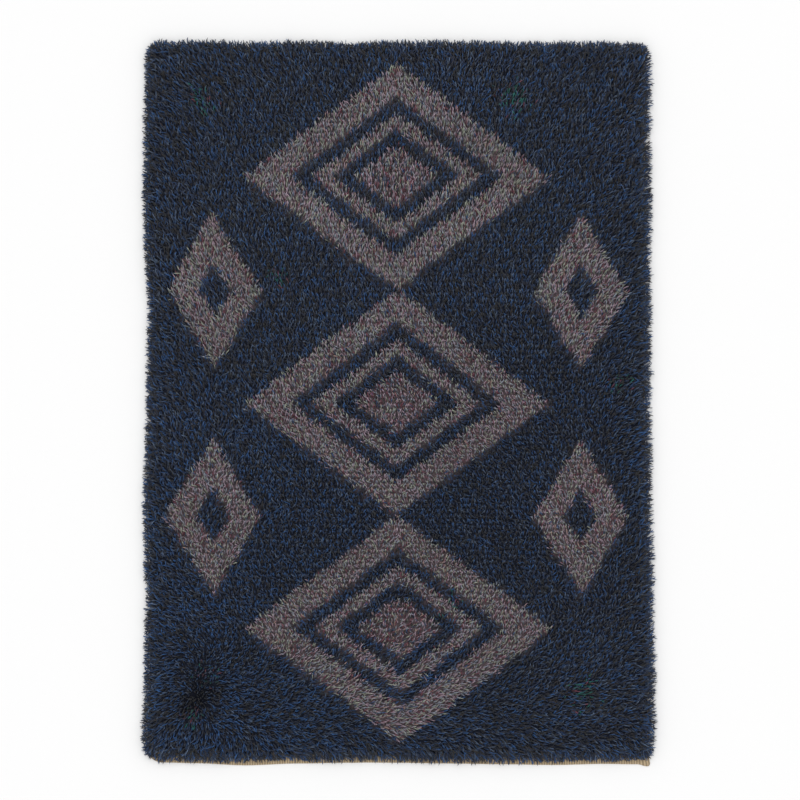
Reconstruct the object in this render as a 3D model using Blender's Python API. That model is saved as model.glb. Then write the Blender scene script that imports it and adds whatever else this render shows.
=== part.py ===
# Hand-knotted shag rug, lying flat: a woven ground and the deep combed pile that is knotted into it.
# Metres, +Z up. +Y is the rug's long way and +X goes across it. The origin is on the floor, under the
# middle of the rug.
#
# Both pieces follow one outline: a rectangle with soft corners whose four edges drift in and out a little,
# as a hand-made rug's do. A place on it is first worked out on the true rectangle, then drifted.

import math
import random

import bpy

# The ground weave, which has its woven hem at both ends
WEAVE_WIDTH = 1.366
WEAVE_LENGTH = 1.978
WEAVE_THICKNESS = 0.003
WEAVE_EDGE_ROUND = 0.0007  # how far the edge's round draws in the two flat faces
HEM_SHOW = 0.022  # the -Y end's hem that the pile's roots leave free

# The pile: its height above the floor, at the rim and over the middle
SEAT_GAP = 0.0003  # the pile's flat underside lies this far above the weave
RIM_HEIGHT = 0.0175
PILE_HEIGHT = 0.0240
SHOULDER = 0.030  # from the rim in to the first lumps, at the full height
LUMP = 0.0028
CELLS_ACROSS = 30  # of the lumpy top
CELLS_ALONG = 42

# The lumps: waves over the top, each with its length across and along, its start and its share
LUMP_WAVES = (
    # across, along, start, share
    (0.210, 0.160, 0.4, 0.35),
    (0.127, -0.143, 1.9, 0.30),
    (-0.181, 0.097, 3.1, 0.20),
    (0.094, 0.262, 5.2, 0.15),
)

# Where the pile parts, as a crown of hair does, and lies low
PARTING_X = -0.575
PARTING_Y = -0.810
PARTING_DEPTH = 0.0065
PARTING_RADIUS = 0.055

# The locks of yarn round the rim, two to each cell of the top
LOCKS_A_CELL = 2
LOCK_WIDTH = 0.64  # of the lock's place along the rim
LOCK_REACH = 0.0175
LOCK_REACH_SPREAD = 0.0035
HEM_LOCK_REACH = 0.0130  # shorter over the free hem
HEM_LOCK_ARCH = 0.0022
HEM_LOCK_STRAY = 0.25
HEM_FACING = -0.1  # locks whose way out points more than this towards -Y lie over the hem
LOCK_KNEE = 0.55  # where a lock bends, of its reach
LOCK_KNEE_SIZE = 0.60  # its thickness there, of its root's
LOCK_ARCH = 0.0015  # how far it arches there before it droops
LOCK_STRAY = 0.15  # how far a lock may lean from its neighbours, of its reach
TIP_HEIGHT = 0.0010  # the tips rest just on the floor
TIP_SPREAD = 0.0012
HEM_TIP_HEIGHT = 0.0045  # or on the free hem
SIDE_COMB = 0.45  # how far the locks of the long sides lean towards +Y
END_SPLAY = 0.40  # how far those of the +Y end lean sideways, away from the middle
CREST_LUMPS = 0.3  # the share of the lumps' height that the rim has
LOCK_SEED = 11

# How far the two long sides stand out from the straight line, going up the rug
SIDE_DRIFT = (
    # y, left, right
    (-0.96, 0.006, 0.005),
    (-0.90, 0.010, 0.010),
    (-0.82, 0.003, 0.010),
    (-0.69, 0.002, 0.010),
    (-0.55, -0.003, 0.005),
    (-0.41, 0.003, 0.004),
    (-0.27, 0.005, 0.000),
    (-0.13, 0.000, -0.001),
    (0.00, -0.003, -0.003),
    (0.14, -0.005, -0.001),
    (0.28, -0.008, -0.001),
    (0.42, 0.002, -0.003),
    (0.56, 0.005, 0.000),
    (0.78, 0.003, -0.003),
    (0.90, 0.000, 0.000),
    (0.97, -0.004, -0.005),
)

# How far the two ends stand out from the straight line, going across the rug
END_DRIFT = (
    # x, bottom, top
    (-0.64, -0.004, 0.002),
    (-0.55, -0.002, 0.004),
    (-0.41, 0.004, -0.001),
    (-0.27, -0.001, 0.002),
    (-0.13, -0.003, -0.003),
    (0.00, -0.003, 0.001),
    (0.14, -0.001, 0.002),
    (0.28, 0.001, -0.001),
    (0.42, 0.003, -0.001),
    (0.56, 0.000, -0.001),
    (0.67, 0.002, -0.004),
)

# The corners' radii. The last is nearly square: the hem's end sticks out there as a small ear.
CORNER_RADII = {(-1, 1): 0.028, (1, 1): 0.025, (-1, -1): 0.045, (1, -1): 0.016}
EAR_REACH = 0.006
EAR_SIZE = 0.022

EDGE_CELLS = 2 * (CELLS_ACROSS + CELLS_ALONG)  # cells round the edge of the lumpy top


def eased(table, at, column):
    """A column of the table at a place between its rows, in smooth steps from row to row."""
    if at <= table[0][0]:
        return table[0][column]
    for low, high in zip(table, table[1:]):
        if at <= high[0]:
            part = (at - low[0]) / (high[0] - low[0])
            part = part * part * (3 - 2 * part)
            return low[column] + (high[column] - low[column]) * part
    return table[-1][column]


def ear(x, y):
    """How far the hem's end is pulled out at the corner of the right side and the -Y end."""
    away = math.hypot(x - WEAVE_WIDTH / 2, y + WEAVE_LENGTH / 2)
    return EAR_REACH * max(0.0, 1 - away / EAR_SIZE)


def drifted(x, y):
    """A place on the true rectangle, moved as the rug's uneven edges move it."""
    across = max(-1.0, min(1.0, x / (WEAVE_WIDTH / 2)))
    along = max(-1.0, min(1.0, y / (WEAVE_LENGTH / 2)))
    left, right = eased(SIDE_DRIFT, y, 1), eased(SIDE_DRIFT, y, 2)
    bottom, top = eased(END_DRIFT, x, 1), eased(END_DRIFT, x, 2)
    side = right * (1 + across) / 2 - left * (1 - across) / 2
    end = top * (1 + along) / 2 - bottom * (1 - along) / 2
    return x + side + ear(x, y), y + end - ear(x, y)


def around(step):
    """A place on the unit square's edge, counter-clockwise from its lower left corner, in cells."""
    step %= EDGE_CELLS
    if step <= CELLS_ACROSS:
        return step / CELLS_ACROSS, 0.0
    step -= CELLS_ACROSS
    if step <= CELLS_ALONG:
        return 1.0, step / CELLS_ALONG
    step -= CELLS_ALONG
    if step <= CELLS_ACROSS:
        return 1 - step / CELLS_ACROSS, 1.0
    return 0.0, 1 - (step - CELLS_ACROSS) / CELLS_ALONG


def edge_point(step, box, inset=0.0):
    """A place on a soft-cornered rectangle's edge and the way outwards there, both on the true rectangle.

    The box is its left, bottom, right and top. A place near a corner is drawn in onto the corner's arc.
    """
    left, bottom, right, top = box
    u, v = around(step)
    x, y = left + (right - left) * u, bottom + (top - bottom) * v
    side = (1 if u > 0.5 else -1, 1 if v > 0.5 else -1)
    radius = CORNER_RADII[side]
    centre_x = (right if side[0] > 0 else left) - side[0] * radius
    centre_y = (top if side[1] > 0 else bottom) - side[1] * radius
    away_x = max(0.0, (x - centre_x) * side[0])
    away_y = max(0.0, (y - centre_y) * side[1])
    if away_x and away_y:
        away = math.hypot(away_x, away_y)
        out_x, out_y = side[0] * away_x / away, side[1] * away_y / away
        x, y = centre_x + out_x * radius, centre_y + out_y * radius
    elif u in (0.0, 1.0):
        out_x, out_y = side[0], 0.0
    else:
        out_x, out_y = 0.0, side[1]
    return (x - out_x * inset, y - out_y * inset), (out_x, out_y)


def weave_box():
    """The weave's true rectangle: left, bottom, right, top."""
    return (-WEAVE_WIDTH / 2, -WEAVE_LENGTH / 2, WEAVE_WIDTH / 2, WEAVE_LENGTH / 2)


def pile_box(inset=0.0):
    """The true rectangle of the pile's wall, which leaves the hem free at the -Y end."""
    left, bottom, right, top = weave_box()
    return (left + inset, bottom + HEM_SHOW + inset, right - inset, top - inset)


def top_height(x, y):
    """The pile's height over a place: its lumps, less the hollow at its parting."""
    lumps = sum(
        share * math.sin(2 * math.pi * (x / across + y / along) + start)
        for across, along, start, share in LUMP_WAVES
    )
    away = math.hypot(x - PARTING_X, y - PARTING_Y) / PARTING_RADIUS
    return PILE_HEIGHT + LUMP * lumps - PARTING_DEPTH * math.exp(-away * away)


def new_object(name, points, faces, material):
    """An object of its own for a piece, with its mesh and its material."""
    mesh = bpy.data.meshes.new(name)
    mesh.from_pydata(points, [], faces)
    mesh.materials.append(material)
    piece = bpy.data.objects.new(name, mesh)
    bpy.context.scene.collection.objects.link(piece)
    return piece


def yarn(name, colour, roughness):
    """A plain woollen material."""
    material = bpy.data.materials.new(name)
    material.use_nodes = True
    shader = material.node_tree.nodes["Principled BSDF"]
    shader.inputs["Base Color"].default_value = (*colour, 1.0)
    shader.inputs["Roughness"].default_value = roughness
    shader.inputs["Metallic"].default_value = 0.0
    material.diffuse_color = (*colour, 1.0)
    return material


def ground_weave():
    """The flat woven sheet with its hems: two flat faces and a rounded edge, as three rings of points."""
    rings = ((WEAVE_EDGE_ROUND, 0.0), (0.0, WEAVE_THICKNESS / 2), (WEAVE_EDGE_ROUND, WEAVE_THICKNESS))
    count = EDGE_CELLS * LOCKS_A_CELL
    points = []
    for inset, height in rings:
        for step in range(count):
            place, _ = edge_point(step / LOCKS_A_CELL, weave_box(), inset)
            points.append((*drifted(*place), height))
    faces = [list(range(count))[::-1], list(range(2 * count, 3 * count))]
    for low in (0, count):
        for step in range(count):
            after = (step + 1) % count
            faces.append((low + step, low + after, low + count + after, low + count + step))
    return new_object("ground_weave", points, faces, yarn("weave_yarn", (0.33, 0.26, 0.17), 0.9))


def lock_tip(step, chance):
    """Where the lock in the middle of this stretch of rim ends: it leaves the wall, leans and droops."""
    place, (out_x, out_y) = edge_point(step, pile_box())
    over_hem = out_y < HEM_FACING
    if over_hem:
        lean_x, lean_y = HEM_LOCK_STRAY * chance.uniform(-1, 1), 0.0
        reach = HEM_LOCK_REACH + LOCK_REACH_SPREAD / 2 * chance.uniform(-1, 1)
        height = HEM_TIP_HEIGHT
    else:
        splay = END_SPLAY * place[0] / (WEAVE_WIDTH / 2)
        lean_x = splay * abs(out_y) + LOCK_STRAY * chance.uniform(-1, 1)
        lean_y = SIDE_COMB * abs(out_x) + LOCK_STRAY * chance.uniform(-1, 1)
        reach = LOCK_REACH + LOCK_REACH_SPREAD * chance.uniform(-1, 1)
        height = TIP_HEIGHT
    tip = (place[0] + (out_x + lean_x) * reach, place[1] + (out_y + lean_y) * reach)
    return tip, height + TIP_SPREAD * chance.random(), over_hem


def lock_knee(root, tip, over_hem):
    """The four corners where a lock bends: its root's corners, drawn together on the way to the tip."""
    middle = [sum(corner[axis] for corner in root) / 4 for axis in range(3)]
    knee = [middle[axis] + (tip[axis] - middle[axis]) * LOCK_KNEE for axis in range(3)]
    knee[2] += HEM_LOCK_ARCH if over_hem else LOCK_ARCH
    return [
        tuple(knee[axis] + (corner[axis] - middle[axis]) * LOCK_KNEE_SIZE for axis in range(3))
        for corner in root
    ]


def pile():
    """The knotted pile: a lumpy top, a wall with a lock on every second stretch, a flat underside."""
    chance = random.Random(LOCK_SEED)
    row = CELLS_ACROSS + 1
    left, bottom, right, top = pile_box(SHOULDER)
    points, faces = [], []

    # The lumpy top, row by row
    for j in range(CELLS_ALONG + 1):
        for i in range(row):
            x = left + (right - left) * i / CELLS_ACROSS
            y = bottom + (top - bottom) * j / CELLS_ALONG
            points.append((*drifted(x, y), top_height(x, y)))
    for j in range(CELLS_ALONG):
        for i in range(CELLS_ACROSS):
            corner = j * row + i
            faces.append((corner, corner + 1, corner + row + 1, corner + row))

    # The rim's two rings of points, at the wall's foot and its top: two points for each lock's root
    locks = EDGE_CELLS * LOCKS_A_CELL
    foot, crest = len(points), len(points) + 2 * locks
    foot_height = WEAVE_THICKNESS + SEAT_GAP
    sides = [(1 - LOCK_WIDTH) / 2, (1 + LOCK_WIDTH) / 2]
    steps = [(lock + side) / LOCKS_A_CELL for lock in range(locks) for side in sides]
    for height in (foot_height, RIM_HEIGHT):
        for step in steps:
            place, _ = edge_point(step, pile_box())
            lumps = top_height(*place) - PILE_HEIGHT
            lift = 0.0 if height == foot_height else CREST_LUMPS * lumps
            points.append((*drifted(*place), height + lift))

    # The shoulder, from the top's own edge out to the crest
    edge = []
    for step in range(EDGE_CELLS):
        u, v = around(step)
        edge.append(round(v * CELLS_ALONG) * row + round(u * CELLS_ACROSS))
    for step in range(EDGE_CELLS):
        here, after = edge[step], edge[(step + 1) % EDGE_CELLS]
        first = crest + 4 * step
        before = first - 1 if step else crest + 2 * locks - 1
        faces.append((here, before, first))
        faces.append((here, first, first + 1))
        faces.append((here, first + 1, first + 2, after))
        faces.append((after, first + 2, first + 3))

    # The wall between locks, and the locks
    for lock in range(locks):
        a, b, after = 2 * lock, 2 * lock + 1, (2 * lock + 2) % (2 * locks)
        faces.append((foot + b, foot + after, crest + after, crest + b))
        root = [foot + a, foot + b, crest + b, crest + a]
        place, height, over_hem = lock_tip((lock + 0.5) / LOCKS_A_CELL, chance)
        tip = (*drifted(*place), height)
        knee = len(points)
        points.extend(lock_knee([points[corner] for corner in root], tip, over_hem))
        points.append(tip)
        for q in range(4):
            r = (q + 1) % 4
            faces.append((root[q], root[r], knee + r, knee + q))
            faces.append((knee + q, knee + r, knee + 4))

    faces.append(list(range(foot, crest))[::-1])
    return new_object("pile", points, faces, yarn("pile_yarn", (0.022, 0.028, 0.050), 0.95))


def centre(pieces):
    """Moves the pieces together so that the middle of all of them is over the origin."""
    corners = [vertex.co for piece in pieces for vertex in piece.data.vertices]
    for axis in (0, 1):
        low = min(corner[axis] for corner in corners)
        high = max(corner[axis] for corner in corners)
        for corner in corners:
            corner[axis] -= (low + high) / 2


def main():
    for old in list(bpy.data.objects):
        bpy.data.objects.remove(old)
    centre([ground_weave(), pile()])


main()
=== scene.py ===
# The look of a hand-knotted shag rug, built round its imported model: every strand of the pile, the bed of
# wool under it and the ribbed ground weave. Metres, +Z up; +Y runs along the rug.

import math

import bpy
import numpy as np
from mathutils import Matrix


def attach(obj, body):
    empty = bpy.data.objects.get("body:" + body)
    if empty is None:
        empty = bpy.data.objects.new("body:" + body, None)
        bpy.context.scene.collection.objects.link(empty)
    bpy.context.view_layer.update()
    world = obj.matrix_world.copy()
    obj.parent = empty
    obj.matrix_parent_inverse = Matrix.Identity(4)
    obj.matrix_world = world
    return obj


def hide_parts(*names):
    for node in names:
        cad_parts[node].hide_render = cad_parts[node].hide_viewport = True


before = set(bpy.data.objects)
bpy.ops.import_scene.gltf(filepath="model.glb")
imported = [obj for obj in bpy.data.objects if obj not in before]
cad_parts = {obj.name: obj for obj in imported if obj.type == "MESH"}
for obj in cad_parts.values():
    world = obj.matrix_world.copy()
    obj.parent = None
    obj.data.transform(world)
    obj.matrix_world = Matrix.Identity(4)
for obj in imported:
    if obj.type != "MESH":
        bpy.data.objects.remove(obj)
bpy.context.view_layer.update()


# The rug's outline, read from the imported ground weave: where each of its four edges runs
outline = {
    "width": 1.366,
    "length": 1.978,
    "edgeBand": 0.03,  # points this near the weave's box belong to that edge
    "cornerReach": 0.06,  # and the ones this near a corner to none
    "cornerRadii": {(-1, 1): 0.028, (1, 1): 0.025, (-1, -1): 0.045, (1, -1): 0.016},
    "earReach": 0.011,  # the hem's end, pulled out at the lower right corner
    "earSize": 0.026,
    "hemShow": 0.022,  # the lower hem that the pile leaves free
}


def weaveEdges():
    # Left, right, bottom and top: places along each edge and where the edge is there
    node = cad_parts["ground_weave"]
    node = bpy.data.objects[node] if isinstance(node, str) else node
    mesh = node.data
    points = np.empty(len(mesh.vertices) * 3)
    mesh.vertices.foreach_get("co", points)
    points = points.reshape(-1, 3)
    points = np.unique(points[:, :2].round(6), axis=0)
    low, high = points.min(0), points.max(0)
    edges = {}
    for name, axis, limit, sign in (
        # edge, axis that it bounds, its limit on it, 1 for a low edge
        ("left", 0, low[0], 1),
        ("right", 0, high[0], -1),
        ("bottom", 1, low[1], 1),
        ("top", 1, high[1], -1),
    ):
        other = 1 - axis
        near = sign * (points[:, axis] - limit) < outline["edgeBand"]
        inner = points[:, other] > low[other] + outline["cornerReach"]
        inner &= points[:, other] < high[other] - outline["cornerReach"]
        found = points[near & inner]
        at = np.unique(found[:, other].round(4))
        # the outermost of the points that share a place along the edge
        out = [found[np.abs(found[:, other] - a) < 1e-3][:, axis] for a in at]
        edges[name] = at, np.array([o.min() if sign > 0 else o.max() for o in out])
    return edges


edges = weaveEdges()
mean = {name: float(out.mean()) for name, (at, out) in edges.items()}
middleX = (mean["left"] + mean["right"]) / 2
middleY = (mean["bottom"] + mean["top"]) / 2
weaveWidth, weaveLength = outline["width"], outline["length"]
straight = {
    "left": middleX - weaveWidth / 2,
    "bottom": middleY - weaveLength / 2,
    "right": middleX + weaveWidth / 2,
    "top": middleY + weaveLength / 2,
}


def softCorner(x, y, box):
    # Places on a rectangle, the ones past a corner's arc drawn in onto it
    left, bottom, right, top = box
    for (sideX, sideY), radius in outline["cornerRadii"].items():
        centreX = (right if sideX > 0 else left) - sideX * radius
        centreY = (top if sideY > 0 else bottom) - sideY * radius
        awayX = np.maximum((x - centreX) * sideX, 0)
        awayY = np.maximum((y - centreY) * sideY, 0)
        away = np.hypot(awayX, awayY)
        draw = np.where((awayX > 0) & (awayY > 0), radius / np.maximum(away, radius), 1)
        x = np.where(draw < 1, centreX + sideX * awayX * draw, x)
        y = np.where(draw < 1, centreY + sideY * awayY * draw, y)
    return x, y


def drifted(x, y):
    # Places on the true rectangle, moved as the uneven edges beside them are, and the ear pulled out
    across = np.clip((x - straight["left"]) / weaveWidth, 0, 1)
    along = np.clip((y - straight["bottom"]) / weaveLength, 0, 1)

    def off(name, at):
        return np.interp(at, *edges[name]) - straight[name]

    away = np.hypot(x - straight["right"], y - straight["bottom"])
    ear = outline["earReach"] * np.maximum(0, 1 - away / outline["earSize"])
    newX = x + off("left", y) * (1 - across) + off("right", y) * across + ear
    newY = y + off("bottom", x) * (1 - along) + off("top", x) * along - ear
    return newX, newY


def ripple(x, y, size, seed):
    # A smooth random field of about -1 to 1: plane waves of about this length, in all directions
    chance = np.random.default_rng(seed)
    waves = 12
    turn = chance.uniform(0, 2 * math.pi, waves)
    length = size * chance.uniform(0.7, 1.6, waves)
    start = chance.uniform(0, 2 * math.pi, waves)
    phase = np.outer(x, np.cos(turn) / length) + np.outer(y, np.sin(turn) / length)
    return np.cos(2 * math.pi * phase + start).sum(1) * math.sqrt(2 / waves) / 1.6


# Which way the pile is combed, set after the directions measured on the photograph: at heights
# up the rug and at seven places across it, the way the tips point, in degrees anticlockwise from +X
combing = {
    "across": (-0.63, -0.48, -0.30, 0.0, 0.30, 0.55, 0.66),
    "headings": (
        # y, at each place across
        (-0.985, (235, -92, -34, -50, -25, -30, -22)),
        (-0.95, (226, -98, -2, -18, -4, -8, -6)),
        (-0.86, (208, -7, 22, 18, 8, 16, 10)),
        (-0.74, (178, 26, 36, 40, 46, 48, 28)),
        (-0.60, (143, 118, 118, 80, 90, 82, 46)),
        (-0.35, (122, 68, 88, 96, 112, 108, 60)),
        (-0.10, (122, 92, 112, 106, 124, 88, 20)),
        (0.15, (126, 104, 94, 104, 108, 64, 30)),
        (0.40, (108, 100, 88, 94, 84, 64, 50)),
        (0.66, (122, 94, 92, 90, 82, 68, 56)),
        (0.92, (133, 124, 105, 100, 80, 70, 70)),
    ),
    "upright": (
        # where the pile stands up more: x, y, reach across, reach along, how much
        (0.05, -0.42, 0.66, 0.42, 0.48),
        (0.20, 0.02, 0.45, 0.30, 0.24),
        (0.50, 0.42, 0.22, 0.50, 0.15),
        (-0.50, -0.80, 0.16, 0.12, 0.20),
        (0.0, -0.97, 0.60, 0.05, 0.12),
    ),
    "stray": 23,  # degrees that the strands stray from the heading, more at the rim
    "rimStray": 9,
    "calm": (0.0, 0.55, 0.44, 0.45),  # the part combed straightest: x, y, reach across and along
    "calmStray": 11,  # how much less they stray there
    "parting": (-0.555, -0.818),  # a crown, from which the strands point away
    "partingRadius": 0.056,
    "partingHeart": 0.040,  # within this they stand up
    "partingTurn": 38,  # degrees: the heart is longer this way
    "partingStretch": 1.5,
    # painted shade: how much darker the strands and the bed are painted in the crown's heart
    "partingPaintedShade": 0.66,
    "rimPush": 1.1,  # how strongly the rim's strands are pushed outwards
    "rimReach": 0.016,
}


def bell(x, y, atX, atY, reachX, reachY):
    # A round bell: 1 at its middle, near 0 past its reach
    return np.exp(-(((x - atX) / reachX) ** 2) - ((y - atY) / reachY) ** 2)


def fromParting(x, y):
    # How deep in the crown's heart each place is, 1 to 0: a bell over an uneven oval turned by its angle
    turn = math.radians(combing["partingTurn"])
    dx, dy = x - combing["parting"][0], y - combing["parting"][1]
    along = (dx * math.cos(turn) + dy * math.sin(turn)) / combing["partingStretch"]
    across = (dy * math.cos(turn) - dx * math.sin(turn)) * 1.1
    uneven = 1 + 0.35 * ripple(x, y, 0.06, 15)
    return np.exp(-((np.hypot(along, across) * uneven / combing["partingHeart"]) ** 2))


def hats(at, knots):
    # The share that each knot has in each place: straight slopes from knot to knot
    return np.stack([np.interp(at, knots, row) for row in np.eye(len(knots))], 1)


def combed(x, y, rims):
    # The way the pile lies at each place, as a vector whose length is how far it lies over: 1 less the
    # bells of the upright patches, turned to the heading. Then the crown and the push out at the rim.
    ups = [row[0] for row in combing["headings"]]
    turns = np.radians([row[1] for row in combing["headings"]])
    shareX, shareY = hats(x, combing["across"]), hats(y, ups)
    lie = [np.einsum("nr,nk,rk->n", shareY, shareX, part) for part in (np.cos(turns), np.sin(turns))]
    lie = np.stack(lie, 1)
    over = 1 + 0 * x
    for *patch, depth in combing["upright"]:
        over = over - depth * bell(x, y, *patch)
    lie = lie * over[:, None]
    away = np.stack([x, y], 1) - combing["parting"]
    far = np.hypot(*away.T)
    crown = np.exp(-((far / combing["partingRadius"]) ** 2))[:, None]
    grown = 0.85 * (1 - fromParting(x, y)) / np.maximum(far, 1e-4)
    lie = lie * (1 - crown) + away * grown[:, None] * crown
    push = {name: np.exp(-gap / combing["rimReach"]) for name, gap in rims.items()}
    outwards = np.stack([push["right"] - push["left"], push["top"] - push["bottom"]], 1)
    return lie + combing["rimPush"] * outwards


# The figure: a column of three large lozenges in bands, with small lozenges beside their waists
figure = {
    "halfWidth": 0.42,
    "halfHeight": 0.31,
    "bands": ((0.70, 1.00), (0.42, 0.56), (0.0, 0.28)),  # from the middle out, as shares
    "sideX": 0.505,
    "sideHalfWidth": 0.130,
    "sideHalfHeight": 0.215,
    "sideHole": 0.34,
}


def charted(x, y):
    # For each knot: 0 in the ground, 1 in the figure's bands and 2 in its cores
    pitch = 2 * figure["halfHeight"]
    tier = np.clip(np.round(y / pitch), -1, 1)
    share = np.abs(x) / figure["halfWidth"] + np.abs(y - tier * pitch) / figure["halfHeight"]
    inside = np.zeros(len(x), int)
    for low, high in figure["bands"]:
        inside = np.where((share >= low) & (share < high), 1 if low else 2, inside)
    tier = np.clip(np.round(y / pitch - 0.5), -1, 0) + 0.5
    side = (np.abs(np.abs(x) - figure["sideX"])) / figure["sideHalfWidth"]
    side = side + np.abs(y - tier * pitch) / figure["sideHalfHeight"]
    return np.where((side < 1) & (side > figure["sideHole"]), 1, inside)


# The yarns: colour as 0 to 255, then how many strands in a hundred have it in the ground, in the
# figure's bands and in its cores
yarns = (
    # name, colour, ground, bands, cores
    ("midnight", (36, 41, 56), 20, 0, 2),
    ("navy", (34, 55, 90), 24, 1, 3),
    ("blue", (38, 79, 129), 15, 1, 2),
    ("slate", (76, 93, 118), 13, 4, 7),
    ("charcoal", (45, 48, 52), 18, 1, 5),
    ("peat", (47, 42, 41), 7, 1, 5),
    ("teal", (30, 104, 98), 0, 0, 0),
    ("stone", (150, 155, 142), 0, 24, 12),
    ("mauve", (158, 138, 151), 0, 30, 30),
    ("dove", (139, 144, 156), 0, 24, 14),
    ("wine", (113, 62, 76), 0, 10, 17),
    ("rose", (157, 131, 124), 0, 5, 5),
)

yarnNames = [yarn[0] for yarn in yarns]

# Along the lower rim the pile covers more or less of the hem: places across, and the share of a strand
hemCover = (
    (-0.69, 1.10),
    (-0.64, 1.04),
    (-0.50, 1.02),
    (-0.45, 0.80),
    (-0.40, 0.70),
    (-0.366, 0.66),
    (-0.325, 0.84),
    (-0.283, 0.90),
    (-0.20, 1.04),
    (-0.118, 1.02),
    (-0.076, 0.84),
    (-0.035, 1.00),
    (0.09, 1.04),
    (0.20, 1.02),
    (0.296, 1.10),
    (0.379, 0.99),
    (0.42, 0.84),
    (0.50, 0.82),
    (0.586, 0.84),
    (0.64, 0.78),
    (0.68, 0.62),
)

pile = {
    "rowPitch": 0.0138,
    "knotPitch": 0.00828,
    "bands": 5,  # pieces that the rows are shared out to
    "rootHeight": 0.0034,
    "rootInset": 0.003,  # of the outermost knots, from the weave's edge
    "lengths": (0.027, 0.032),  # of upright and of combed strands
    "rimLengths": {"left": 0.80, "bottom": 1.0, "right": 1.05, "top": 0.86},  # of that, at the rims
    "rimFade": 0.035,
    "uneven": (0.84, 1.12),  # each strand's own share of its length
    "rimUneven": (0.76, 1.22),
    "shortShare": (0.62, 0.90),  # of the strands between the full ones
    "rowSpread": 0.75,  # how far the knots of one row spread into the gap to the next
    "rimStrands": 7000,
    "rimBand": 0.026,  # how far in from the edge those extra ones stand
    "rimRaise": 0.009,  # and how far up the pile some of them start
    "rootLean": (5, 14),  # degrees from upright, of upright and of combed strands
    "tipLean": (24, 82),
    "rimDroop": 62,
    "radius": 0.00170,
    "shades": 8,
    "shadeRange": (0.45, 1.36),
    "shadeSpread": 0.12,
    "strongSpread": 0.15,  # more of it in the lower left
    "uprightPaintedLight": 0.24,  # painted light: upright strands' colour is painted a little lighter, against the shade deep between them
    "strays": (
        # x, y and reach of each handful of teal and wine yarn in the ground
        (0.32, 0.83, 0.034),
        (0.14, -0.57, 0.030),
        (0.50, -0.81, 0.030),
        (-0.53, -0.76, 0.024),
        (-0.56, -0.87, 0.018),
        (-0.53, 0.82, 0.026),
        (0.60, 0.05, 0.022),
        (-0.33, 0.33, 0.022),
    ),
    "seed": 20,
}


def pileBox():
    # The rectangle that the outermost roots stand on: left, bottom, right and top
    inset = pile["rootInset"]
    bottom = straight["bottom"] + outline["hemShow"] + inset
    return straight["left"] + inset, bottom, straight["right"] - inset, straight["top"] - inset


def pick(chance, weights):
    # One column for each row of weights, by chance
    steps = np.cumsum(weights, 1)
    draw = chance.random(len(weights))[:, None] * steps[:, -1:]
    return (draw > steps).sum(1)


def bluer(x, y):
    # How far into the lower left each place is: two straight slopes multiplied
    return np.clip((0.35 - x) / 0.9, 0, 1) * np.clip((0.35 - y) / 1.1, 0, 1)


def knots():
    # Every knot on the true rectangle, row by row: its place, its row, its kind and its yarn's weights
    chance = np.random.default_rng(pile["seed"])
    bottom = straight["bottom"] + outline["hemShow"]
    rows = round((straight["top"] - bottom) / pile["rowPitch"])
    columns = round(weaveWidth / pile["knotPitch"])
    row, column = (a.ravel() for a in np.mgrid[0:rows, 0:columns])
    x = straight["left"] + weaveWidth * (column + 0.5) / columns
    y = bottom + (straight["top"] - bottom) * (row + 0.5) / rows
    kind = charted(x - middleX, y - middleY)
    weights = np.array([yarn[2:] for yarn in yarns], float).T[kind]
    # here and there a handful of odd yarn was knotted in
    for atX, atY, reach in pile["strays"]:
        share = bell(x, y, atX, atY, reach, reach) * (kind == 0)
        weights[:, yarnNames.index("teal")] += 42 * share
        weights[:, yarnNames.index("wine")] += 16 * share
    # the lower left has more of the strong blue
    strong = bluer(x, y) * (kind == 0)
    weights[:, yarnNames.index("blue")] *= 1 + 1.6 * strong
    for dull in ("charcoal", "peat"):
        weights[:, yarnNames.index(dull)] *= 1 - 0.25 * strong
    # and few blue ones in the dark heart of the crown
    for bright in ("navy", "blue", "slate"):
        weights[:, yarnNames.index(bright)] *= 1 - 0.85 * fromParting(x, y)
    y = y + 0.0011 * ripple(x, y, 0.30, 3) + chance.normal(0, 0.0006, len(y))
    x = x + chance.normal(0, 0.0007, len(x))
    return x, y, row, rows, weights


def rimKnots():
    # Extra knots all round, just inside the edge: their place, their row and their yarn's weights
    chance = np.random.default_rng(pile["seed"] + 1)
    low, high = straight["bottom"] + outline["hemShow"], straight["top"]
    count = pile["rimStrands"]
    at = chance.random(count) * 2 * (weaveWidth + high - low)
    inside = pile["rimBand"] * chance.random(count) ** 2
    side = np.searchsorted(np.cumsum([weaveWidth, weaveWidth, high - low]), at)
    at = at - np.array([0, weaveWidth, 2 * weaveWidth, 2 * weaveWidth + high - low])[side]
    left, right = straight["left"], straight["right"]
    x = np.choose(side, [left + at, left + at, left + inside, right - inside])
    y = np.choose(side, [low + inside, high - inside, low + at, low + at])
    weights = np.tile(np.array([yarn[2] for yarn in yarns], float), (count, 1))
    rows = round((high - low) / pile["rowPitch"])
    row = np.clip((y - low) / (high - low) * rows, 0, rows - 1).astype(int)
    return x, y, row, rows, weights


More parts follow.
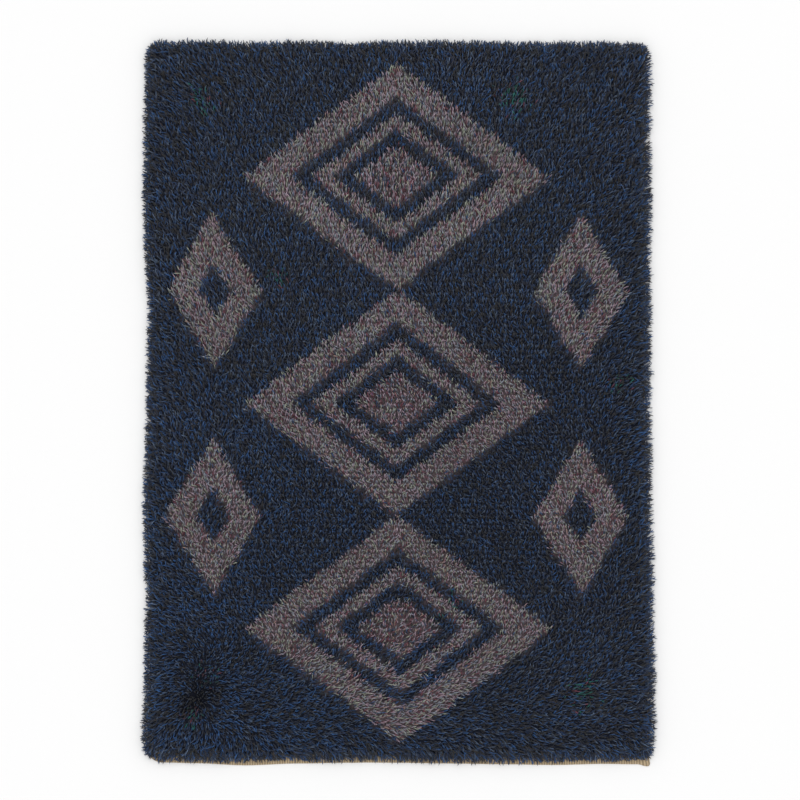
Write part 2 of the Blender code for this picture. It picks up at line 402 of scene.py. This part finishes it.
def strandField(share, spread, seed, full, extra=False):
    # The strands that stand at one place in every knot: root, heading, leans, length and colour
    x, y, row, rows, weights = rimKnots() if extra else knots()
    chance = np.random.default_rng(seed)
    count = len(x)
    turnNoise = 13 * ripple(x, y, 0.095, 7) + 16 * ripple(x, y, 0.027, 8)
    layNoise = 0.07 * ripple(x, y, 0.12, 9) + 0.10 * ripple(x, y, 0.030, 10)
    shadeNoise = 0.07 * ripple(x, y, 0.35, 12) + 0.10 * ripple(x, y, 0.022, 13)

    x = x + share[0] * pile["knotPitch"] + chance.normal(0, spread, count)
    y = y + share[1] * pile["rowSpread"] * pile["rowPitch"] + chance.normal(0, spread, count)
    box = pileBox()
    x, y = np.clip(x, box[0], box[2]), np.clip(y, box[1], box[3])
    x, y = softCorner(x, y, box)
    rims = {"left": x - box[0], "bottom": y - box[1], "right": box[2] - x, "top": box[3] - y}
    lie = combed(x, y, rims)

    lay = np.clip(np.hypot(*lie.T) + layNoise + chance.normal(0, 0.10, count), 0.05, 1.25)
    rim = np.clip(1 - np.minimum.reduce(list(rims.values())) / pile["rimFade"], 0, 1)
    hem = np.clip(1 - rims["bottom"] / pile["rimFade"], 0, 1)
    turn = np.arctan2(lie[:, 1], lie[:, 0])
    calm = bell(x, y, *combing["calm"])
    stray = combing["stray"] + combing["rimStray"] * rim - combing["calmStray"] * calm
    turn = turn + np.radians(turnNoise * (1 - 0.5 * calm) + stray * chance.normal(0, 1, count))

    def between(ends, part):
        return ends[0] + (ends[1] - ends[0]) * part

    uneven = pile["rimUneven"] if extra else pile["uneven"]
    length = between(pile["lengths"], np.minimum(lay, 1)) * chance.uniform(*uneven, count)
    for name, gap in rims.items():
        here = np.clip(1 - gap / pile["rimFade"], 0, 1)
        length *= 1 + (pile["rimLengths"][name] - 1) * here
    length *= 1 + (np.interp(x, *zip(*hemCover)) - 1) * hem
    if not full:
        length *= chance.uniform(*pile["shortShare"], count)
    rootLean = between(pile["rootLean"], lay) + chance.normal(0, 4, count)
    tipLean = between(pile["tipLean"], lay) + chance.normal(0, 9, count)
    tipLean = np.maximum(tipLean + pile["rimDroop"] * rim, rootLean + 20)
    # each strand's tone: its own at random, with painted light on upright strands and, below, painted shade
    # in the crown's heart
    shade = 1 + pile["uprightPaintedLight"] * np.clip(1 - lay, 0, 1) + shadeNoise
    spreadHere = pile["shadeSpread"] + pile["strongSpread"] * bluer(x, y) ** 2
    shade = shade + spreadHere * chance.normal(0, 1, count)
    # painted shade: the strands' colour darkened in the crown's heart, where the standing pile is seen end
    # on
    shade *= 1 - combing["partingPaintedShade"] * fromParting(x, y)
    shades = pile["shades"]
    low, high = pile["shadeRange"]
    level = np.clip(np.round((shade - low) / (high - low) * (shades - 1)), 0, shades - 1)
    return {
        "x": x,
        "y": y,
        "row": row,
        "rows": rows,
        "turn": turn,
        "curl": chance.normal(0, 0.20, count),
        "rootLean": np.radians(rootLean),
        "tipLean": np.radians(tipLean),
        "length": length,
        "radius": pile["radius"] * chance.uniform(0.85, 1.15, count) * (1 if full else 0.92),
        "spin": chance.uniform(0, 2 * math.pi, count),
        "yarn": pick(chance, weights),
        "level": level.astype(int),
        "hem": hem,
        "height": pile["rootHeight"] + (chance.uniform(0, pile["rimRaise"], count) if extra else 0 * x),
    }


def strandPattern(rings):
    # One strand's triangles and, for their corners, the turn round it and the place along it, 0 to 1.
    # Its points are the root, three for each ring and the tip.
    places = [0.0, *rings, 1.0]
    tip = 1 + 3 * len(rings)
    faces, corners = [], []
    for k in range(3):
        here, after, half = k / 3, (k + 1) / 3, (k + 0.5) / 3
        a, b = 1 + k, 1 + (k + 1) % 3
        faces.append((0, b, a))
        corners.append(((half, 0.0), (after, places[1]), (here, places[1])))
        for ring in range(len(rings) - 1):
            c, d = a + 3, b + 3
            low, high = places[ring + 1], places[ring + 2]
            faces += [(a, b, d), (a, d, c)]
            corners.append(((here, low), (after, low), (after, high)))
            corners.append(((here, low), (after, high), (here, high)))
            a, b = c, d
        faces.append((a, b, tip))
        corners.append(((here, places[-2]), (after, places[-2]), (half, 1.0)))
    return np.array(faces), np.array(corners)


def strandPoints(strands, rings, sizes):
    # Each strand is an arc whose lean grows evenly from root to tip. The root and the tip are points on
    # it, and each ring is a triangle round it, turned a little further than the last.
    ups, points = strands["tipLean"] - strands["rootLean"], []
    for number, place in enumerate([0.0, *rings, 1.0]):
        lean = strands["rootLean"] + ups * place
        along = strands["length"] / ups * (np.cos(strands["rootLean"]) - np.cos(lean))
        up = strands["length"] / ups * (np.sin(lean) - np.sin(strands["rootLean"]))
        turn = strands["turn"] + strands["curl"] * place
        heading = np.stack([np.cos(turn), np.sin(turn), 0 * turn], 1)
        x, y = drifted(strands["x"], strands["y"])
        middle = np.stack([x, y, strands["height"] + up], 1) + heading * along[:, None]
        if place in (0.0, 1.0):
            points.append(middle)
            continue
        side = np.stack([-heading[:, 1], heading[:, 0], 0 * turn], 1)
        crown = -np.cos(lean)[:, None] * heading
        crown[:, 2] = np.sin(lean)
        for k in range(3):
            angle = strands["spin"] + 2 * math.pi * k / 3 + 0.7 * number
            reach = (strands["radius"] * sizes[number - 1])[:, None]
            points.append(middle + reach * (np.cos(angle)[:, None] * side + np.sin(angle)[:, None] * crown))
    points = np.stack(points, 1)
    # nothing goes below the floor, or below the hem where that lies free
    overHem = (points[:, :, 1] < straight["bottom"] + outline["hemShow"]) & (strands["hem"] > 0)[:, None]
    floor = np.where(overHem, 0.0038, 0.0007)
    points[:, :, 2] = np.maximum(points[:, :, 2], floor)
    return points


def linear(colour):
    # Screen values of 0 to 255 as linear light
    part = np.asarray(colour, float) / 255
    return np.where(part <= 0.04045, part / 12.92, ((part + 0.055) / 1.055) ** 2.4)


def addMesh(name, points, faces, smooth=True):
    # A piece from whole arrays of points and of triangles or quads
    mesh = bpy.data.meshes.new(name)
    mesh.vertices.add(len(points))
    mesh.vertices.foreach_set("co", np.ascontiguousarray(points, np.float32).ravel())
    size = faces.shape[1]
    mesh.loops.add(faces.size)
    mesh.loops.foreach_set("vertex_index", np.ascontiguousarray(faces, np.int32).ravel())
    mesh.polygons.add(len(faces))
    mesh.polygons.foreach_set("loop_start", np.arange(0, faces.size, size, dtype=np.int32))
    mesh.polygons.foreach_set("use_smooth", np.full(len(faces), smooth))
    mesh.update(calc_edges=True)
    piece = bpy.data.objects.new(name, mesh)
    bpy.context.scene.collection.objects.link(piece)
    return piece


def addMap(piece, name, corners, active=False):
    # A UV map from an array of corners
    layer = piece.data.uv_layers.new(name=name)
    layer.data.foreach_set("uv", np.ascontiguousarray(corners, np.float32).ravel())
    layer.active_render = active


def addColours(piece, name, colours):
    # A colour for each point
    layer = piece.data.attributes.new(name, "FLOAT_COLOR", "POINT")
    full = np.concatenate([colours, np.ones((len(colours), 1))], 1)
    layer.data.foreach_set("color", full.astype(np.float32).ravel())


def cellCorners(strands, corners):
    # The baking map: strands of one yarn and one shade share a cell of it, laid out turn by length
    margin = 0.06
    cell = np.stack([strands["yarn"] / len(yarns), strands["level"] / pile["shades"]], 1)
    size = np.array([1 / len(yarns), 1 / pile["shades"]])
    inside = margin + (1 - 2 * margin) * corners
    return cell[:, None, None, :] + inside[None] * size


def strandPiece(name, groups, finish):
    # One piece of many strands, from groups that share a pattern
    colours = linear([yarn[1] for yarn in yarns])
    low, high = pile["shadeRange"]
    allPoints, allFaces, allTints, turns, cells, base = [], [], [], [], [], 0
    for strands, rings, sizes in groups:
        faces, corners = strandPattern(rings)
        points = strandPoints(strands, rings, sizes)
        count, each = points.shape[:2]
        first = base + each * np.arange(count)
        allPoints.append(points.reshape(-1, 3))
        allFaces.append((first[:, None, None] + faces[None]).reshape(-1, 3))
        # the strand's tone level, which holds painted light and painted shade as well as its own random
        # tone
        shade = low + (high - low) * strands["level"] / (pile["shades"] - 1)
        tint = colours[strands["yarn"]] * shade[:, None]
        allTints.append(np.repeat(tint, each, 0))
        turns.append(np.broadcast_to(corners, (count, *corners.shape)).reshape(-1, 2))
        cells.append(cellCorners(strands, corners).reshape(-1, 2))
        base += count * each
    piece = addMesh(name, np.concatenate(allPoints), np.concatenate(allFaces))
    addMap(piece, "strand", np.concatenate(turns), active=True)
    addMap(piece, "OFBake", np.concatenate(cells))
    addColours(piece, "yarn", np.concatenate(allTints))
    piece.data.materials.append(finish)
    return piece


def closedSheet(top, bottom):
    # Points and quads of a closed slab: two grids of the same size, top facing up and bottom down,
    # joined round their edges
    across, along = top.shape[:2]
    points = np.concatenate([top.reshape(-1, 3), bottom.reshape(-1, 3)])
    index = np.arange(across * along).reshape(across, along)
    a, b, c, d = index[:-1, :-1], index[1:, :-1], index[1:, 1:], index[:-1, 1:]
    up = np.stack([a, b, c, d], -1).reshape(-1, 4)
    shift = across * along
    down = up[:, ::-1] + shift
    rim = np.concatenate([index[:, 0], index[-1, 1:], index[-2::-1, -1], index[0, -2:0:-1]])
    after = np.roll(rim, -1)
    wall = np.stack([rim + shift, after + shift, after, rim], -1)
    return points, np.concatenate([up, down, wall])


bed = {
    "across": 62,
    "along": 88,
    "height": 0.0088,
    "lump": 0.0012,
    "rimHeight": 0.0042,
    "rimFade": 0.020,
    # colours of the wool deep in the pile, painted dark as painted shade
    "groundShadedColour": (30, 34, 46),
    "figureShadedColour": (92, 81, 85),
}


def woolBed(finish):
    # The wool between the strands: a closed slab whose top is low at the rim and lumpy within, its colour
    # the wool's painted dark as painted shade
    box = pileBox()
    u, v = np.meshgrid(np.linspace(0, 1, bed["across"]), np.linspace(0, 1, bed["along"]), indexing="ij")
    x, y = box[0] + (box[2] - box[0]) * u.ravel(), box[1] + (box[3] - box[1]) * v.ravel()
    near = np.minimum.reduce([x - box[0], y - box[1], box[2] - x, box[3] - y])
    kind = charted(x - middleX, y - middleY)
    x, y = softCorner(x, y, box)
    rise = np.sin(np.clip(near / bed["rimFade"], 0, 1) * math.pi / 2)
    height = bed["rimHeight"] + (bed["height"] - bed["rimHeight"]) * rise
    height = height + bed["lump"] * ripple(x, y, 0.03, 15) * rise
    newX, newY = drifted(x, y)
    shape = (bed["across"], bed["along"], 3)
    top = np.stack([newX, newY, height], 1).reshape(shape)
    bottom = np.stack([newX, newY, 0 * x + 0.0032], 1).reshape(shape)
    piece = addMesh("woolBed", *closedSheet(top, bottom))
    # painted shade: the bed's wool colours, darker still in the crown's heart
    wools = linear([bed["groundShadedColour"], bed["figureShadedColour"]])[(kind > 0).astype(int)]
    dark = combing["partingPaintedShade"] * fromParting(x, y)
    addColours(piece, "wool", np.tile(wools * (1 - dark[:, None]), (2, 1)))
    piece.data.materials.append(finish)
    return piece


weave = {
    "ribPitch": 0.0068,
    "ribHeight": 0.0009,
    "pickPitch": 0.0014,
    "thickness": 0.0030,
    "hemWidth": 0.020,
    "hemExtra": 0.0007,
    "edgeRound": 0.0014,
    "edgeRows": (0.0, 0.0005, 0.0014, 0.009, 0.0185, 0.0212),
    "middleRows": 4,
    "stitchPitch": 0.0065,
}


def groundWeave(finish):
    # The ribbed sheet: two points to each rib across, ridge and valley, and rows that crowd at the hems.
    # Its edge is rounded off and its hems are a little thicker, up to their stitched fold.
    ribs = round(weaveWidth / weave["ribPitch"])
    u = np.linspace(0, 1, 2 * ribs + 1)
    edge = np.array(weave["edgeRows"])
    middle = np.linspace(edge[-1], weaveLength - edge[-1], weave["middleRows"] + 2)[1:-1]
    rows = np.concatenate([edge, middle, weaveLength - edge[::-1]])
    gridU, gridY = np.meshgrid(u, rows, indexing="ij")
    ridge = np.cos(gridU * ribs * 2 * math.pi).ravel()
    x, y = straight["left"] + weaveWidth * gridU.ravel(), straight["bottom"] + gridY.ravel()
    box = (straight["left"], straight["bottom"], straight["right"], straight["top"])
    near = np.minimum.reduce([x - box[0], y - box[1], box[2] - x, box[3] - y])
    toEnd = np.minimum(y - box[1], box[3] - y)
    flatX, flatY = x, y
    x, y = softCorner(x, y, box)
    newX, newY = drifted(x, y)
    full = np.sqrt(1 - (1 - np.clip(near / weave["edgeRound"], 0, 1)) ** 2)
    full = 0.35 + 0.65 * full
    half = weave["thickness"] / 2
    hem = np.clip((weave["hemWidth"] - toEnd) / 0.0025 + 0.5, 0, 1)
    top = half + full * (half + weave["hemExtra"] * hem + weave["ribHeight"] * (ridge - 1) / 2)
    low = half - full * (half + weave["ribHeight"] * (ridge - 1) / 2)
    shape = (*gridU.shape, 3)
    grids = [np.stack([newX, newY, z], 1).reshape(shape) for z in (top, low)]
    points, faces = closedSheet(*grids)
    piece = addMesh("ribbedGround", points, faces)
    cloth = np.tile(np.stack([flatX - middleX, flatY - middleY], 1), (2, 1))
    addMap(piece, "cloth", cloth[faces.ravel()], active=True)
    under = np.repeat([0.0, 1.0], len(x))
    addColours(piece, "under", np.repeat(under[:, None], 3, 1))
    piece.data.materials.append(finish)
    return piece


class Signal:
    # One socket of a shader. Arithmetic on it adds Math nodes.
    def __init__(self, finish, node, output):
        self.finish = finish
        self.node = node
        self.socket = node.outputs[output]

    def maths(self, operation, *others):
        values = dict(enumerate((self, *others)))
        return self.finish.node("ShaderNodeMath", {"operation": operation}, values)

    def __add__(self, other):
        return self.maths("ADD", other)

    def __sub__(self, other):
        return self.maths("SUBTRACT", other)

    def __rsub__(self, other):
        return self * -1 + other

    def __mul__(self, other):
        return self.maths("MULTIPLY", other)

    def __truediv__(self, other):
        return self.maths("DIVIDE", other)

    __radd__ = __add__
    __rmul__ = __mul__

    def part(self, output):
        return Signal(self.finish, self.node, output)


class Finish:
    # A material and its nodes
    def __init__(self, name, **constants):
        self.material = bpy.data.materials.new(name)
        self.material.use_nodes = True
        self.tree = self.material.node_tree
        self.shader = self.tree.nodes["Principled BSDF"]
        for socket, value in constants.items():
            self.shader.inputs[socket.replace("_", " ")].default_value = value

    def node(self, kind, settings=None, values=None, output=0):
        node = self.tree.nodes.new(kind)
        for key, value in (settings or {}).items():
            setattr(node, key, value)
        for key, value in (values or {}).items():
            if isinstance(value, Signal):
                self.tree.links.new(value.socket, node.inputs[key])
            else:
                node.inputs[key].default_value = value
        return Signal(self, node, output)

    def mix(self, share, low, high, blend="MIX"):
        settings = {"data_type": "RGBA", "blend_type": blend}
        return self.node("ShaderNodeMix", settings, {0: share, 6: low, 7: high}, output=2)

    def give(self, socket, signal):
        self.tree.links.new(signal.socket, self.shader.inputs[socket])

    def bumped(self, height, distance, strength=1.0):
        values = {"Height": height, "Distance": distance, "Strength": strength}
        self.give("Normal", self.node("ShaderNodeBump", None, values))


def yarnFinish():
    # Two-ply wool: the strand's own colour, with painted shade darker at the root and between the plies'
    # diagonal ribs
    plies, twists = 2, 7
    finish = Finish("shagYarn", Specular_IOR_Level=0.35, Sheen_Weight=0.12, Sheen_Roughness=0.5)
    colour = finish.node("ShaderNodeAttribute", {"attribute_name": "yarn"}, output="Color")
    places = finish.node("ShaderNodeUVMap", {"uv_map": "strand"})
    turn = finish.node("ShaderNodeSeparateXYZ", None, {0: places})
    along = turn.part("Y")
    phase = (turn * plies + along * twists) * (2 * math.pi)
    ply = phase.maths("SINE") * 0.5 + 0.5
    stretch = {0: places, 1: (9.0, 30.0, 1.0)}
    stretched = finish.node("ShaderNodeVectorMath", {"operation": "MULTIPLY"}, stretch)
    fibre = finish.node("ShaderNodeTexNoise", None, {"Vector": stretched, "Scale": 1.0, "Detail": 2.0})
    # painted shade: the colour darkens towards the strand's root, where it lies deep in the pile
    depth = finish.node(
        "ShaderNodeMapRange",
        {"interpolation_type": "SMOOTHSTEP"},
        {"Value": along, "From Min": 0.10, "From Max": 0.70, "To Min": 0.50, "To Max": 1.0},
    )
    # painted shade from the root and the ply grooves, times the fibres' own random tone
    paintedShadeAndTone = depth * (ply * 0.22 + 0.88) * (fibre * 0.5 + 0.75)
    finish.give("Base Color", finish.mix(1.0, colour, paintedShadeAndTone, "MULTIPLY"))
    finish.give("Roughness", 0.78 - ply * 0.18)
    finish.bumped(ply * 0.7 + fibre * 0.3, 0.0004)
    return finish.material


def bedFinish():
    # Wool deep in the pile, painted dark as painted shade: near black in the ground, dark mauve under the
    # figure
    finish = Finish("deepWoolPaintedShade", Roughness=0.95, Specular_IOR_Level=0.1)
    wool = finish.node("ShaderNodeAttribute", {"attribute_name": "wool"}, output="Color")
    places = finish.node("ShaderNodeTexCoord", output="Object")
    fleck = finish.node("ShaderNodeTexNoise", None, {"Vector": places, "Scale": 260.0, "Detail": 2.0})
    finish.give("Base Color", finish.mix(1.0, wool, fleck * 1.4 + 0.3, "MULTIPLY"))
    finish.bumped(fleck, 0.002)
    return finish.material


def weaveFinish():
    # Undyed wool woven in ribs: weft picks crowd over each warp, with painted shade in the valleys and
    # between the picks, and on the underside the knots' backs show as short dark dashes, row by row. A
    # stitched line holds each hem.
    finish = Finish("tanWeave", Specular_IOR_Level=0.2, Sheen_Weight=0.1)
    places = finish.node("ShaderNodeUVMap", {"uv_map": "cloth"})
    x = finish.node("ShaderNodeSeparateXYZ", None, {0: places})
    y = x.part("Y")

    def wave(signal, pitch):
        phase = signal * (2 * math.pi / pitch)
        return phase.maths("COSINE") * 0.5 + 0.5

    half = weaveWidth / 2
    ribs = round(weaveWidth / weave["ribPitch"])
    rib = wave(x + half, weaveWidth / ribs)
    ribNumber = (x + half) / (weaveWidth / ribs)
    pick = wave(y + ribNumber.maths("ROUND") * (weave["pickPitch"] / 2), weave["pickPitch"])
    mottle = finish.node("ShaderNodeTexNoise", None, {"Vector": places, "Scale": 90.0, "Detail": 3.0})
    fuzz = finish.node("ShaderNodeTexNoise", None, {"Vector": places, "Scale": 1500.0, "Detail": 2.0})
    # painted shade in the rib valleys and between the picks, times the fuzz's own random tone
    paintedShadeAndTone = (rib * 0.55 + 0.5) * (pick * 0.18 + 0.86) * (fuzz * 0.4 + 0.8)
    colour = finish.mix(mottle, (*linear((172, 151, 121)), 1), (*linear((214, 192, 158)), 1))

    under = finish.node("ShaderNodeAttribute", {"attribute_name": "under"}, output="Fac")
    row = wave(y, pile["rowPitch"])
    back = row.maths("GREATER_THAN", 0.93) * rib.maths("GREATER_THAN", 0.45) * under
    colour = finish.mix(back * 0.75, colour, (*linear((46, 54, 78)), 1))

    fromFold = (weaveLength / 2 - weave["hemWidth"] - y.maths("ABSOLUTE")).maths("ABSOLUTE")
    stitch = wave(x, weave["stitchPitch"])
    stitch = fromFold.maths("LESS_THAN", 0.0006) * stitch.maths("GREATER_THAN", 0.35)
    colour = finish.mix(stitch * 0.6, colour, (*linear((120, 98, 70)), 1))
    finish.give("Base Color", finish.mix(1.0, colour, paintedShadeAndTone, "MULTIPLY"))
    finish.give("Roughness", 0.95 - rib * 0.1)
    finish.bumped(rib * 0.5 + pick * 0.5 + stitch * 0.8 + back * 0.5, 0.0006)
    return finish.material


# The pile
strandGroups = (
    # places across and along the knot, spread, seed, full, at the rim only, rings and their sizes
    ((-0.36, -0.25), 0.0012, 31, True, False, (0.34, 0.78), (1.0, 0.86)),
    ((0.14, 0.0), 0.0012, 32, True, False, (0.34, 0.78), (1.0, 0.86)),
    ((-0.11, 0.25), 0.0014, 33, False, False, (0.58,), (1.05,)),
    ((0.38, 0.5), 0.0014, 34, False, False, (0.58,), (1.05,)),
    ((0.0, 0.0), 0.0010, 35, True, True, (0.34, 0.76), (0.95, 0.85)),
)
yarnMaterial = yarnFinish()
fields = [(strandField(*group[:5]), *group[5:]) for group in strandGroups]
rows = fields[0][0]["rows"]
pilePieces = []
for band, own in enumerate(np.array_split(np.arange(rows), pile["bands"])):
    groups = []
    for strands, rings, sizes in fields:
        keep = (strands["row"] >= own[0]) & (strands["row"] <= own[-1])
        kept = {key: value[keep] for key, value in strands.items() if key != "rows"}
        groups.append((kept, rings, sizes))
    piece = strandPiece(f"pileRows{band + 1}", groups, yarnMaterial)
    pilePieces.append(piece)
    print("pile rows", own[0], "to", own[-1], len(piece.data.polygons), "triangles")

pilePieces.append(woolBed(bedFinish()))
for piece in pilePieces:
    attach(piece, "root")
    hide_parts("pile")
print("bed done")

ground = groundWeave(weaveFinish())
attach(ground, "root")
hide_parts("ground_weave")
print("ground weave done")


# The studio: a white floor, soft light from all round and a large soft light above
studio = {
    "floorSize": 60.0,
    "floorColour": 0.88,
    "skyStrength": 0.86,
    "sunTilt": 24.0,  # degrees from straight down
    "sunTurn": 100.0,  # the side it comes from, anticlockwise from +X
    "sunSpread": 40.0,
    "sunStrength": 0.92,
    "lens": 135.0,
    "photoSide": 800 * 0.00276,  # what the photograph's frame is across, on the rug
    "photoCentre": (398.5, 401.5),  # where the rug's middle is in it, in its pixels
    "pixel": 0.00276,
}


def buildStudio():
    # The floor, the even sky, the large soft light and the camera straight above. The camera stands
    # as far off as its lens needs to take in the photograph's frame.
    half = studio["floorSize"] / 2
    corners = np.array([(-half, -half, 0), (half, -half, 0), (half, half, 0), (-half, half, 0)], float)
    corners[:, 2] = -0.0004
    floor = addMesh("studioFloor", corners, np.array([[0, 1, 2, 3]]), smooth=False)
    grey = studio["floorColour"]
    paint = Finish("floorPaint", Base_Color=(grey, grey, grey, 1), Roughness=0.9, Specular_IOR_Level=0.1)
    floor.data.materials.append(paint.material)

    world = bpy.data.worlds.new("softRoom")
    bpy.context.scene.world = world
    world.use_nodes = True
    sky = world.node_tree.nodes["Background"]
    sky.inputs["Color"].default_value = (1, 1, 1, 1)
    sky.inputs["Strength"].default_value = studio["skyStrength"]

    light = bpy.data.lights.new("softSun", "SUN")
    light.angle = math.radians(studio["sunSpread"])
    light.energy = studio["sunStrength"]
    lamp = bpy.data.objects.new("softSun", light)
    turn = math.radians(studio["sunTurn"] + 90)
    lamp.rotation_euler = (math.radians(studio["sunTilt"]), 0, turn)
    bpy.context.scene.collection.objects.link(lamp)

    view = bpy.data.cameras.new("photoView")
    view.lens = studio["lens"]
    view.clip_end = 200
    camera = bpy.data.objects.new("photoView", view)
    distance = studio["photoSide"] * view.lens / view.sensor_width
    shiftX = (400 - studio["photoCentre"][0]) * studio["pixel"]
    shiftY = (studio["photoCentre"][1] - 400) * studio["pixel"]
    camera.location = (shiftX, shiftY, distance)
    bpy.context.scene.collection.objects.link(camera)
    bpy.context.scene.camera = camera
    bpy.context.scene.view_settings.view_transform = "Standard"


buildStudio()
print("studio done")
